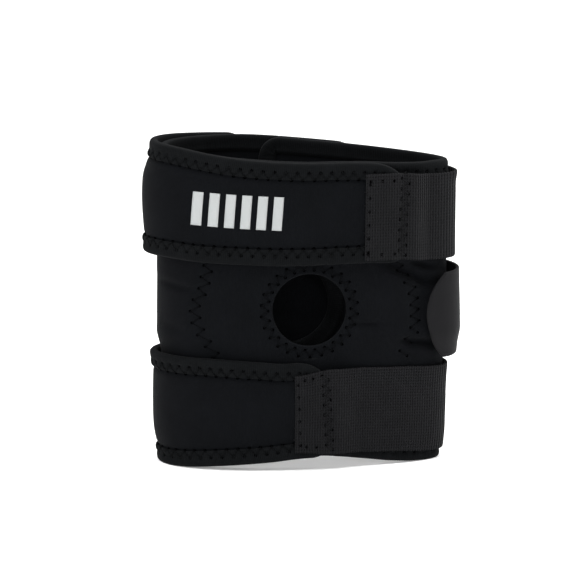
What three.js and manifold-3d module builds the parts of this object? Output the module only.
// A neoprene knee support, in millimetres. A padded panel wraps round the leg and laps over itself
// at the back. A wide band at its top and one at its bottom are sewn on at the back, cross the front
// from the left, and go on as elastic straps round the right side to the back. A third strap comes
// from the back round the right side to the front, beside the round knee opening.
// The support stands on its lower rim. +Z is up, the knee opening faces -Y, and +X is to the right
// of someone who looks at the front. The origin is on the ground below the middle.
import * as THREE from "three";
import Module from "manifold-3d";
import { mergeVertices } from "three/addons/utils/BufferGeometryUtils.js";

const wasm = await Module();
wasm.setup();

// Sleeve. Half width and half depth are to the inner face, at the knee opening.
const HALF_WIDTH = 84.5;
const HALF_DEPTH = 33;
const LEFT_FULLNESS = 0.25; // how much deeper than the middle the left side is, and shallower the right
const SIDE_RISE = 6.8; // how far the left end of the top rim is above its middle, and the right below
const RIM_SAG = 3.2; // dip of the top rim at the front
const RIM_TUCK = 3; // how far the panel's rim is below the upper band's at the left
const RIM_ARCH = 7.4; // rise of the bottom rim at the front

// Materials' thicknesses, and the gap between pieces that meet.
const NEOPRENE = 2.8;
const TAPE = 0.5;
const TAPE_REACH = 9; // how far the folded edge tape reaches over the neoprene
const ELASTIC = 1.6;
const HOOK_TAB = 1.8;
const GAP = 0.3;

// Bands and straps.
const UPPER_BAND_HEIGHT = 65.8;
const LOWER_BAND_HEIGHT = 66.6;
const STRAP_WIDTH = 52;
const MIDDLE_STRAP_ROOM = 9.6; // height that the middle strap leaves free between the bands
const UPPER_STRAP_DROP = 2.1; // strap's middle below the middle of the band's end
const LOWER_STRAP_DROP = 1.2;
const MIDDLE_STRAP_DROP = 8.5; // tab's middle below the middle of the knee opening

// Knee opening and the relief cut into the inner wing behind the knee.
const KNEE_RADIUS = 21.7;
const KNEE_ACROSS = 3.7; // to the right of the middle
const KNEE_DROP = 1.2; // below the middle of the stretch between the bands
const RELIEF_DEPTH = 41;
const RELIEF_HALF_HEIGHT = 28;
const RELIEF_DROP = 6; // below the middle of the knee opening

// Rounded corners and ends.
const CORNER_ROOM = 3; // how much larger than the tape's reach a taped corner's radius is
const FREE_CORNER_RADIUS = 20; // upper front corner of a band
const TAB_TIP_RADIUS = 33;

// Places round the sleeve, in degrees: 0 at the middle of the back, 90 at the left side, 180 at the
// middle of the front, 270 at the right side.
const OUTER_WING_END = -22;
const INNER_WING_END = 378;
const WING_EASE = 38; // stretch in which the outer wing comes down from the inner one
const UPPER_BAND_END = 226.5;
const LOWER_BAND_END = 191.5;
const MIDDLE_TAB_TIP = 238.4;
const UPPER_STRAP_START = 204.8;
const LOWER_STRAP_START = 176.2;
const STRAP_END = 362; // where the upper and lower straps stop at the back
const MIDDLE_STRAP_ROOT = 354;
const MIDDLE_STRAP_JOIN = 302; // where the middle strap's elastic ends under its tab
const ROOT_CLEARANCE = 9; // from the tabs' tips to the bands' sewn ends

// The sides that the bands and straps turn round, in degrees, and how far they stand off the sleeve
// there, in millimetres.
const LEFT_SIDE = 92;
const LEFT_SIDE_REACH = 48;
const RIGHT_SIDE = 267;
const RIGHT_SIDE_REACH = 38;
const RIM_TUCK_REACH = 78;
const UPPER_BAND_STAND_OFF = 4.4;
const LOWER_BAND_STAND_OFF = 1.4;
const UPPER_STRAP_STAND_OFF = 2.8;
const LOWER_STRAP_STAND_OFF = 0.4;
const MIDDLE_STRAP_STAND_OFF = 5;

// Lengths in millimetres, and how finely the sheets are faceted.
const TAB_LENGTH = 32; // upper and lower tabs
const TAB_LAP = 13; // how far a tab lies over its strap
const EASE_LENGTH = 15; // stretch in which a layer eases down from what it lies on
const STEPS_PER_TURN = 54;
const CORNER_STEPS = 3;
const RELIEF_STEPS = 8;
const HOLE_SIDES = 36;
const LEAST_STEP = 1; // nearest that two points of a station come

// Worked out from the sizes above.
const KNEE_ZONE = STRAP_WIDTH + MIDDLE_STRAP_ROOM;
const HEIGHT = LOWER_BAND_HEIGHT + KNEE_ZONE + UPPER_BAND_HEIGHT;
const KNEE_HEIGHT = LOWER_BAND_HEIGHT + KNEE_ZONE / 2 - KNEE_DROP;
const EDGE_PROUD = GAP + TAPE; // how far the tape stands out past the edge that it covers
const TAPED = NEOPRENE + 2 * EDGE_PROUD;
const LAYER = TAPED + GAP; // one taped panel over another
const ON_TAPE = NEOPRENE + EDGE_PROUD + GAP; // first free offset over a taped panel
const FLAT_PAST_EDGE = 2 * EDGE_PROUD; // how far a layer stays flat past a taped edge under it
const FLAT_PAST_STRAP = 4 * GAP;
const TAPED_CORNER = TAPE_REACH + CORNER_ROOM;
const FACET = 360 / STEPS_PER_TURN;

// Half width and half depth up the sleeve, as shares of their sizes at the knee opening, how much of
// its stand-off a band has there, and how far the sleeve leans to the right, in millimetres.
const SECTIONS = [
  { height: 0, width: 0.929, depth: 0.88, bow: 0.6, lean: -0.9 },
  { height: 0.1, width: 0.946, depth: 0.905, bow: 0.9, lean: -0.85 },
  { height: 0.19, width: 0.948, depth: 0.925, bow: 1, lean: -0.4 },
  { height: 0.355, width: 0.977, depth: 0.97, bow: 0.6, lean: -0.4 },
  { height: 0.41, width: 0.999, depth: 1, bow: 0.6, lean: -0.5 },
  { height: 0.61, width: 0.992, depth: 1, bow: 0.6, lean: -0.4 },
  { height: 0.88, width: 0.985, depth: 1, bow: 1, lean: 0.8 },
  { height: 1, width: 0.969, depth: 0.98, bow: 0.3, lean: 1.4 },
];

// Shape of the rims round the sleeve: top's dip as a share of RIM_SAG, bottom's rise of RIM_ARCH.
const RIMS = [
  { turn: 0, dip: 0, rise: 0 },
  { turn: 110, dip: 0, rise: 0 },
  { turn: 122, dip: 0.12, rise: 0.06 },
  { turn: 138, dip: 0.55, rise: 0.26 },
  { turn: 152, dip: 0.92, rise: 0.46 },
  { turn: 166, dip: 1, rise: 0.68 },
  { turn: 180, dip: 0.85, rise: 0.96 },
  { turn: 188, dip: 0.62, rise: 1 },
  { turn: 196, dip: 0.4, rise: 0.87 },
  { turn: 208, dip: 0.25, rise: 0.58 },
  { turn: 222, dip: 0.3, rise: 0.24 },
  { turn: 237, dip: 0.22, rise: 0.05 },
  { turn: 250, dip: 0, rise: 0 },
  { turn: 360, dip: 0, rise: 0 },
];

// Height of each band along its length, as shares of its full height.
const UPPER_BAND_TAPER = [
  { turn: 0, share: 0.97 },
  { turn: 90, share: 1 },
  { turn: 128, share: 0.98 },
  { turn: 155, share: 0.93 },
  { turn: 180, share: 0.908 },
  { turn: 226, share: 0.883 },
];
const LOWER_BAND_TAPER = [
  { turn: 0, share: 0.98 },
  { turn: 108, share: 1 },
  { turn: 135, share: 0.974 },
  { turn: 149, share: 0.943 },
  { turn: 162, share: 0.905 },
  { turn: 174, share: 0.864 },
  { turn: 192, share: 0.845 },
];

// How far each strap's middle line is above its own level, as shares of the strap's width.
const UPPER_STRAP_LINE = [
  { turn: 205, rise: 0.03 },
  { turn: 222, rise: 0.02 },
  { turn: 234, rise: -0.012 },
  { turn: 246, rise: -0.03 },
  { turn: 262, rise: -0.036 },
  { turn: 300, rise: 0 },
  { turn: 380, rise: 0 },
];
const LOWER_STRAP_LINE = [
  { turn: 176, rise: 0 },
  { turn: 190, rise: 0.019 },
  { turn: 201, rise: 0.011 },
  { turn: 213, rise: -0.005 },
  { turn: 228, rise: -0.022 },
  { turn: 244, rise: -0.046 },
  { turn: 260, rise: -0.058 },
  { turn: 300, rise: -0.02 },
  { turn: 380, rise: -0.02 },
];
const MIDDLE_STRAP_LINE = [
  { turn: 236, rise: 0.02 },
  { turn: 255, rise: 0.015 },
  { turn: 275, rise: 0.05 },
  { turn: 300, rise: 0.1 },
  { turn: 354, rise: 0.12 },
];

const NEOPRENE_LOOK = { color: "#15171a", roughness: 0.85, metalness: 0 };
const TAPE_LOOK = { color: "#181a1d", roughness: 0.8, metalness: 0 };
const ELASTIC_LOOK = { color: "#252527", roughness: 0.75, metalness: 0 };
const TAB_LOOK = { color: "#2a292b", roughness: 0.6, metalness: 0 };

const radians = (degrees) => (degrees * Math.PI) / 180;
const mix = (a, b, share) => a + (b - a) * share;
const evenly = (count) => Array.from({ length: count + 1 }, (_, i) => i / count);

// Goes smoothly from 0 at the first place to 1 at the second.
function ease(from, to, at) {
  const share = Math.min(1, Math.max(0, (at - from) / (to - from)));
  return share * share * (3 - 2 * share);
}

// A smooth swell of height 1 at the middle that ends at half the span to each side.
function swell(middle, halfSpan, at) {
  return ease(halfSpan, 0, Math.abs(at - middle));
}

// A table's column at a place between its rows, straight from row to row.
function along(table, key, column, at) {
  const found = table.findIndex((row, i) => i > 0 && row[key] >= at);
  const next = found < 0 ? table.length - 1 : found;
  const from = table[next - 1];
  const to = table[next];
  const share = Math.min(1, Math.max(0, (at - from[key]) / (to[key] - from[key])));
  return mix(from[column], to[column], share);
}

const wholeTurn = (turn) => ((turn % 360) + 360) % 360;

// Plan of the sleeve's inner face at a height: the point, and how it moves with each radian of turn.
function plan(turn, height) {
  const angle = radians(turn);
  const share = height / HEIGHT;
  const halfWidth = HALF_WIDTH * along(SECTIONS, "height", "width", share);
  const halfDepth = HALF_DEPTH * along(SECTIONS, "height", "depth", share);
  const sin = Math.sin(angle);
  const cos = Math.cos(angle);
  return {
    x: along(SECTIONS, "height", "lean", share) - halfWidth * sin,
    y: halfDepth * cos * (1 + LEFT_FULLNESS * sin),
    dx: -halfWidth * cos,
    dy: halfDepth * (LEFT_FULLNESS * cos * cos - sin * (1 + LEFT_FULLNESS * sin)),
  };
}

// The place in space of a point round the sleeve, at a height, and out from its inner face.
function wrap(turn, height, out) {
  const { x, y, dx, dy } = plan(turn, height);
  const length = Math.hypot(dx, dy);
  return [x + (out * dy) / length, y - (out * dx) / length, height + EDGE_PROUD];
}

// Millimetres round the sleeve in one degree.
function millimetresPerDegree(turn, height) {
  const { dx, dy } = plan(turn, height);
  return radians(Math.hypot(dx, dy));
}

const degreesFor = (length, turn, height = HEIGHT / 2) => length / millimetresPerDegree(turn, height);

// Heights of the sleeve's edges above the lowest edge.
function topRim(turn) {
  const side = Math.sin(radians(turn)) * SIDE_RISE;
  return HEIGHT - SIDE_RISE + side - RIM_SAG * along(RIMS, "turn", "dip", wholeTurn(turn));
}

function bottomRim(turn) {
  return RIM_ARCH * along(RIMS, "turn", "rise", wholeTurn(turn));
}

const panelTop = (turn) => topRim(turn) - RIM_TUCK * swell(LEFT_SIDE, RIM_TUCK_REACH, wholeTurn(turn));
const upperBandBottom = (turn) =>
  topRim(turn) - UPPER_BAND_HEIGHT * along(UPPER_BAND_TAPER, "turn", "share", turn);
const lowerBandTop = (turn) =>
  bottomRim(turn) + LOWER_BAND_HEIGHT * along(LOWER_BAND_TAPER, "turn", "share", turn);

// Places of the hidden ends at the back, which follow from the tabs.
const TAB_TIP = STRAP_END + degreesFor(TAB_LENGTH - TAB_LAP, STRAP_END);
const BAND_ROOT = TAB_TIP - 360 + ROOT_CLEARANCE;
const EASE_FRONT = degreesFor(EASE_LENGTH, UPPER_BAND_END);
const EASE_BACK = degreesFor(EASE_LENGTH, OUTER_WING_END);
const UNDER_WING_FROM = INNER_WING_END - 360 + degreesFor(FLAT_PAST_EDGE, INNER_WING_END);

// How far out each layer lies. The outer wing is lifted over the inner one, and eases down to it.
const wingLift = (turn) => LAYER * (1 - ease(UNDER_WING_FROM, UNDER_WING_FROM + WING_EASE, turn));
const CLIMB_END = OUTER_WING_END + 360 - degreesFor(FLAT_PAST_EDGE, OUTER_WING_END);
const overWing = (turn) => LAYER * ease(CLIMB_END - EASE_BACK, CLIMB_END, turn);
const pastBand = (bandEnd) => bandEnd + degreesFor(FLAT_PAST_EDGE, bandEnd);
const pastStrap = (strapEnd, direction) => strapEnd + direction * degreesFor(FLAT_PAST_STRAP, strapEnd);

function bandOffset(standOff) {
  return (turn, height) => {
    const bow = along(SECTIONS, "height", "bow", height / HEIGHT);
    return wingLift(turn) + LAYER + standOff * bow * swell(LEFT_SIDE, LEFT_SIDE_REACH, turn);
  };
}

function strapOffset(standOff) {
  return (turn) => ON_TAPE + overWing(turn) + standOff * swell(RIGHT_SIDE, RIGHT_SIDE_REACH, turn);
}

function bandStrapOffset(bandEnd, standOff) {
  const past = pastBand(bandEnd);
  const strap = strapOffset(standOff);
  return (turn) => strap(turn) + LAYER * (1 - ease(past, past + EASE_FRONT, turn));
}

function tabOffset(strap, strapEnd, direction) {
  const past = pastStrap(strapEnd, direction);
  const down = past + direction * degreesFor(EASE_LENGTH / 2, strapEnd);
  return (turn) => strap(turn) + (ELASTIC + GAP) * (1 - ease(past, down, turn));
}

// One quarter of a rounded corner: how high above the edge and how far back from the end it is.
function quarter(radius) {
  return evenly(CORNER_STEPS).map((share) => ({
    rise: radius * (1 - Math.cos((share * Math.PI) / 2)),
    inset: radius * (1 - Math.sin((share * Math.PI) / 2)),
  }));
}

// A cut end from its lower to its upper corner, with anything cut into it between them.
function cutEnd(height, lowRadius, highRadius, between = []) {
  const high = quarter(highRadius).map(({ rise, inset }) => ({ rise: height - rise, inset }));
  return [...quarter(lowRadius), ...between, ...high.reverse()];
}

// The relief: a half ellipse with a rounded shoulder above and below.
function reliefCut(middle) {
  const shoulder = evenly(CORNER_STEPS).map((share) => {
    const angle = (share * Math.PI) / 2;
    return {
      away: RELIEF_HALF_HEIGHT + TAPED_CORNER * (1 - Math.sin(angle)),
      inset: TAPED_CORNER * (1 - Math.cos(angle)),
    };
  });
  const bowl = evenly(RELIEF_STEPS).map((share) => {
    const angle = share * Math.PI;
    return {
      away: RELIEF_HALF_HEIGHT * Math.cos(angle),
      inset: TAPED_CORNER + (RELIEF_DEPTH - TAPED_CORNER) * Math.sin(angle),
    };
  });
  const upper = shoulder.map(({ away, inset }) => ({ away: -away, inset })).reverse();
  return [...shoulder, ...bowl.slice(1, -1), ...upper].map(({ away, inset }) => ({
    rise: middle - away,
    inset,
  }));
}

const squareEnd = (height) => [{ rise: 0, inset: 0 }, { rise: height, inset: 0 }];

// A round tip: one shallow arc across the whole width.
function roundTip(height, radius) {
  return evenly(2 * CORNER_STEPS).map((share) => {
    const away = height * (share - 0.5);
    return { rise: height * share, inset: radius - Math.sqrt(radius ** 2 - away ** 2) };
  });
}

// An end's outline with a point wherever it passes a height at which the sleeve's section changes.
function withSections(end, lowest) {
  const heights = SECTIONS.map((row) => row.height * HEIGHT - lowest);
  return end.flatMap((point, i) => {
    const next = end[i + 1];
    if (!next) return [point];
    const passed = heights.filter((rise) => (
      rise > point.rise + LEAST_STEP && rise < next.rise - LEAST_STEP
    ));
    const added = passed.map((rise) => {
      const share = (rise - point.rise) / (next.rise - point.rise);
      return { rise, inset: mix(point.inset, next.inset, share) };
    });
    return [point, ...added];
  });
}

// A sheet's points in stations round the sleeve, each from its lower to its upper edge. Stations
// that run into a shaped end stop at its outline. Creases are places where a sheet starts to bend.
function stationsOf({ from, to, bottom, top, startEnd, finishEnd, creases = [] }) {
  const place = (turn, share) => [turn, mix(bottom(turn), top(turn), share)];
  const shaped = (end, at, inward) => {
    const tall = top(at) - bottom(at);
    return withSections(end(tall), bottom(at)).map(({ rise, inset }) => ({
      share: rise / tall,
      limit: at + inward * degreesFor(inset, at),
    }));
  };
  const start = shaped(startEnd, from, 1);
  const finish = shaped(finishEnd, to, -1);
  const startReach = Math.max(...start.map(({ limit }) => limit)) + FACET;
  const finishReach = Math.min(...finish.map(({ limit }) => limit)) - FACET;
  const station = (turn) => {
    if (turn < startReach) {
      return start.map(({ limit, share }) => place(Math.max(turn, limit), share));
    }
    if (turn > finishReach) {
      return finish.map(({ limit, share }) => place(Math.min(turn, limit), share));
    }
    const lowest = bottom(turn) + LEAST_STEP;
    const highest = top(turn) - LEAST_STEP;
    const heights = SECTIONS.map((row) => row.height * HEIGHT);
    const between = heights.filter((height) => height > lowest && height < highest);
    return [place(turn, 0), ...between.map((height) => [turn, height]), place(turn, 1)];
  };
  const firstFacet = Math.ceil(from / FACET);
  const facets = evenly(Math.ceil((to - from) / FACET)).map((_, i) => (firstFacet + i) * FACET);
  const fixed = [from, ...creases, to];
  const free = facets.filter((turn) => fixed.every((other) => Math.abs(turn - other) > FACET / 4));
  const turns = [...creases, ...free].filter((turn) => turn > from && turn < to).sort((a, b) => a - b);
  return [
    start.map(({ limit, share }) => place(limit, share)),
    ...turns.map(station),
    finish.map(({ limit, share }) => place(limit, share)),
  ];
}

// Once round a sheet's edge, anticlockwise for someone who looks at its outer face.
function edgeOf(stations) {
  const first = stations[0];
  const last = stations[stations.length - 1];
  const points = [
    ...stations.map((station) => station[0]),
    ...last.slice(1),
    ...stations.map((station) => station[station.length - 1]).reverse(),
    ...first.slice(1, -1).reverse(),
  ];
  const apart = ([turn, height], [other, level]) =>
    Math.abs(turn - other) > 1e-6 || Math.abs(height - level) > 1e-6;
  return points.filter((point, i) => apart(point, points[(i + 1) % points.length]));
}

// Collects triangles between points that are shared by their place, and leaves out empty ones.
function meshBuilder() {
  const places = [];
  const numbers = new Map();
  const faces = [];
  return {
    point(place) {
      const key = place.map((value) => Math.round(value * 1e4)).join();
      if (!numbers.has(key)) {
        numbers.set(key, places.length);
        places.push(place);
      }
      return numbers.get(key);
    },
    face(a, b, c) {
      if (a !== b && b !== c && c !== a) faces.push(a, b, c);
    },
    geometry() {
      const geometry = new THREE.BufferGeometry();
      geometry.setAttribute("position", new THREE.Float32BufferAttribute(places.flat(), 3));
      geometry.setIndex(faces);
      return geometry;
    },
  };
}

// Triangles of the strip between two neighbouring stations.
function stripBetween(left, right) {
  const faces = [];
  let i = 0;
  let j = 0;
  while (i < left.length - 1 || j < right.length - 1) {
    const leftNext = i < left.length - 1 ? left[i + 1][1] : Infinity;
    const rightNext = j < right.length - 1 ? right[j + 1][1] : Infinity;
    if (leftNext <= rightNext) {
      faces.push([left[i], right[j], left[i + 1]]);
      i += 1;
    } else {
      faces.push([left[i], right[j], right[j + 1]]);
      j += 1;
    }
  }
  return faces;
}

// A sheet that follows the sleeve, as a closed solid.
function sheetGeometry(sheet) {
  const { stations, offset, thickness } = sheet;
  const mesh = meshBuilder();
  const at = ([turn, height], out) => mesh.point(wrap(turn, height, offset(turn, height) + out));
  for (let k = 1; k < stations.length; k += 1) {
    for (const [a, b, c] of stripBetween(stations[k - 1], stations[k])) {
      mesh.face(at(a, thickness), at(b, thickness), at(c, thickness));
      mesh.face(at(a, 0), at(c, 0), at(b, 0));
    }
  }
  const edge = edgeOf(stations);
  edge.forEach((a, i) => {
    const b = edge[(i + 1) % edge.length];
    mesh.face(at(a, thickness), at(a, 0), at(b, thickness));
    mesh.face(at(b, thickness), at(a, 0), at(b, 0));
  });
  return mesh.geometry();
}

// The edge tape's section: how far in from the sheet's edge, and out from its inner face.
const FOLD_CHAMFER = NEOPRENE / 5;
const TAPE_SECTION = [
  { reach: TAPE_REACH, out: -EDGE_PROUD },
  { reach: -GAP, out: -EDGE_PROUD },
  { reach: -EDGE_PROUD, out: FOLD_CHAMFER },
  { reach: -EDGE_PROUD, out: NEOPRENE - FOLD_CHAMFER },
  { reach: -GAP, out: NEOPRENE + EDGE_PROUD },
  { reach: TAPE_REACH, out: NEOPRENE + EDGE_PROUD },
  { reach: TAPE_REACH, out: NEOPRENE + GAP },
  { reach: -GAP, out: NEOPRENE + GAP },
  { reach: -GAP, out: -GAP },
  { reach: TAPE_REACH, out: -GAP },
];

// The direction into the sheet at each point of its edge, in millimetres, longer at sharp corners.
function inwardAt(edge, i) {
  const at = edge[i];
  const before = edge[(i + edge.length - 1) % edge.length];
  const after = edge[(i + 1) % edge.length];
  const scale = millimetresPerDegree(at[0], at[1]);
  const unit = (a, b) => new THREE.Vector2((b[0] - a[0]) * scale, b[1] - a[1]).normalize();
  const coming = unit(before, at);
  const middle = coming.clone().add(unit(at, after)).normalize();
  const stretch = 1 / middle.dot(coming);
  return { round: (-middle.y * stretch) / scale, up: middle.x * stretch };
}

// Tape folded over the whole edge of a sheet.
function tapeGeometry(sheet) {
  const edge = edgeOf(sheet.stations);
  const mesh = meshBuilder();
  const rings = edge.map((point, i) => {
    const inward = inwardAt(edge, i);
    return TAPE_SECTION.map(({ reach, out }) => {
      const turn = point[0] + reach * inward.round;
      const height = point[1] + reach * inward.up;
      return mesh.point(wrap(turn, height, sheet.offset(turn, height) + out));
    });
  });
  rings.forEach((ring, i) => {
    const next = rings[(i + 1) % rings.length];
    ring.forEach((a, k) => {
      const l = (k + 1) % ring.length;
      mesh.face(a, next[k], ring[l]);
      mesh.face(ring[l], next[k], next[l]);
    });
  });
  return mesh.geometry();
}

function solidOf(geometry) {
  const bare = geometry.clone();
  bare.deleteAttribute("normal");
  bare.deleteAttribute("uv");
  const merged = mergeVertices(bare, 1e-4);
  return new wasm.Manifold(new wasm.Mesh({
    numProp: 3,
    vertProperties: merged.attributes.position.array,
    triVerts: new Uint32Array(merged.index.array),
  }));
}

function geometryOf(solid) {
  const { vertProperties, triVerts } = solid.getMesh();
  const geometry = new THREE.BufferGeometry();
  geometry.setAttribute("position", new THREE.Float32BufferAttribute(vertProperties, 3));
  geometry.setIndex(Array.from(triVerts));
  return geometry;
}

// The round opening over the kneecap, cut straight from front to back through the front wall.
function cutKneeOpening(geometry) {
  const length = 2 * HALF_DEPTH;
  const cutter = new THREE.CylinderGeometry(KNEE_RADIUS, KNEE_RADIUS, length, HOLE_SIDES);
  cutter.translate(KNEE_ACROSS, -length / 2, KNEE_HEIGHT + EDGE_PROUD);
  return geometryOf(solidOf(geometry).subtract(solidOf(cutter)));
}

function sheetOf(shape) {
  return { ...shape, stations: stationsOf(shape) };
}

const taped = (tall) => cutEnd(tall, TAPED_CORNER, TAPED_CORNER);

const bodyPanel = sheetOf({
  from: OUTER_WING_END,
  to: INNER_WING_END,
  bottom: bottomRim,
  top: panelTop,
  startEnd: taped,
  finishEnd: (tall) => (
    cutEnd(tall, TAPED_CORNER, TAPED_CORNER, reliefCut(KNEE_HEIGHT - RELIEF_DROP))
  ),
  offset: wingLift,
  thickness: NEOPRENE,
});

const upperBand = sheetOf({
  from: BAND_ROOT,
  to: UPPER_BAND_END,
  bottom: upperBandBottom,
  top: topRim,
  startEnd: taped,
  finishEnd: (tall) => cutEnd(tall, TAPED_CORNER, FREE_CORNER_RADIUS),
  offset: bandOffset(UPPER_BAND_STAND_OFF),
  thickness: NEOPRENE,
});

const lowerBand = sheetOf({
  from: BAND_ROOT,
  to: LOWER_BAND_END,
  bottom: bottomRim,
  top: lowerBandTop,
  startEnd: taped,
  finishEnd: (tall) => cutEnd(tall, TAPED_CORNER, FREE_CORNER_RADIUS),
  offset: bandOffset(LOWER_BAND_STAND_OFF),
  thickness: NEOPRENE,
});

// Middle heights of the straps. Each starts from the middle of what it is sewn to or lies beside.
const middleOf = (bottom, top, turn) => (bottom(turn) + top(turn)) / 2;
const UPPER_STRAP_HEIGHT = middleOf(upperBandBottom, topRim, UPPER_BAND_END) - UPPER_STRAP_DROP;
const LOWER_STRAP_HEIGHT = middleOf(bottomRim, lowerBandTop, LOWER_BAND_END) - LOWER_STRAP_DROP;
const MIDDLE_STRAP_HEIGHT = KNEE_HEIGHT - MIDDLE_STRAP_DROP;

// A strap or tab of the straps' width along a line round the sleeve.
function stripOf(line, height, shape) {
  const middle = (turn) => height + STRAP_WIDTH * along(line, "turn", "rise", turn);
  return sheetOf({
    bottom: (turn) => middle(turn) - STRAP_WIDTH / 2,
    top: (turn) => middle(turn) + STRAP_WIDTH / 2,
    startEnd: squareEnd,
    finishEnd: squareEnd,
    ...shape,
  });
}

const tip = (tall) => roundTip(tall, TAB_TIP_RADIUS);

// A band's strap, and the tab at its end.
function bandStrap(line, height, start, bandEnd, standOff) {
  const offset = bandStrapOffset(bandEnd, standOff);
  return {
    strap: stripOf(line, height, {
      from: start,
      to: STRAP_END,
      creases: [pastBand(bandEnd), CLIMB_END],
      offset,
      thickness: ELASTIC,
    }),
    tab: stripOf(line, height, {
      from: STRAP_END - degreesFor(TAB_LAP, STRAP_END),
      to: TAB_TIP,
      finishEnd: tip,
      creases: [pastStrap(STRAP_END, 1)],
      offset: tabOffset(offset, STRAP_END, 1),
      thickness: HOOK_TAB,
    }),
  };
}

const upper = bandStrap(
  UPPER_STRAP_LINE, UPPER_STRAP_HEIGHT, UPPER_STRAP_START, UPPER_BAND_END, UPPER_STRAP_STAND_OFF,
);
const lower = bandStrap(
  LOWER_STRAP_LINE, LOWER_STRAP_HEIGHT, LOWER_STRAP_START, LOWER_BAND_END, LOWER_STRAP_STAND_OFF,
);

const middleOffset = strapOffset(MIDDLE_STRAP_STAND_OFF);
const middleStrap = stripOf(MIDDLE_STRAP_LINE, MIDDLE_STRAP_HEIGHT, {
  from: MIDDLE_STRAP_JOIN,
  to: MIDDLE_STRAP_ROOT,
  creases: [CLIMB_END],
  offset: middleOffset,
  thickness: ELASTIC,
});
const middleTab = stripOf(MIDDLE_STRAP_LINE, MIDDLE_STRAP_HEIGHT, {
  from: MIDDLE_TAB_TIP,
  to: MIDDLE_STRAP_JOIN + degreesFor(TAB_LAP, MIDDLE_STRAP_JOIN),
  startEnd: tip,
  creases: [pastStrap(MIDDLE_STRAP_JOIN, -1)],
  offset: tabOffset(middleOffset, MIDDLE_STRAP_JOIN, -1),
  thickness: HOOK_TAB,
});

const support = new THREE.Group();
support.name = "knee_support";

function addPiece(name, geometry, look) {
  const piece = new THREE.Mesh(geometry, new THREE.MeshStandardMaterial(look));
  piece.name = name;
  support.add(piece);
}

addPiece("body_panel", cutKneeOpening(sheetGeometry(bodyPanel)), NEOPRENE_LOOK);
addPiece("body_binding", tapeGeometry(bodyPanel), TAPE_LOOK);
addPiece("upper_band", sheetGeometry(upperBand), NEOPRENE_LOOK);
addPiece("upper_band_binding", tapeGeometry(upperBand), TAPE_LOOK);
addPiece("lower_band", sheetGeometry(lowerBand), NEOPRENE_LOOK);
addPiece("lower_band_binding", tapeGeometry(lowerBand), TAPE_LOOK);
addPiece("upper_strap", sheetGeometry(upper.strap), ELASTIC_LOOK);
addPiece("upper_hook_tab", sheetGeometry(upper.tab), TAB_LOOK);
addPiece("lower_strap", sheetGeometry(lower.strap), ELASTIC_LOOK);
addPiece("lower_hook_tab", sheetGeometry(lower.tab), TAB_LOOK);
addPiece("middle_strap", sheetGeometry(middleStrap), ELASTIC_LOOK);
addPiece("middle_hook_tab", sheetGeometry(middleTab), TAB_LOOK);

// The origin goes under the middle of the whole.
const extent = new THREE.Box3().setFromObject(support);
const centre = extent.getCenter(new THREE.Vector3());
support.position.set(-centre.x, -centre.y, 0);

export default support;
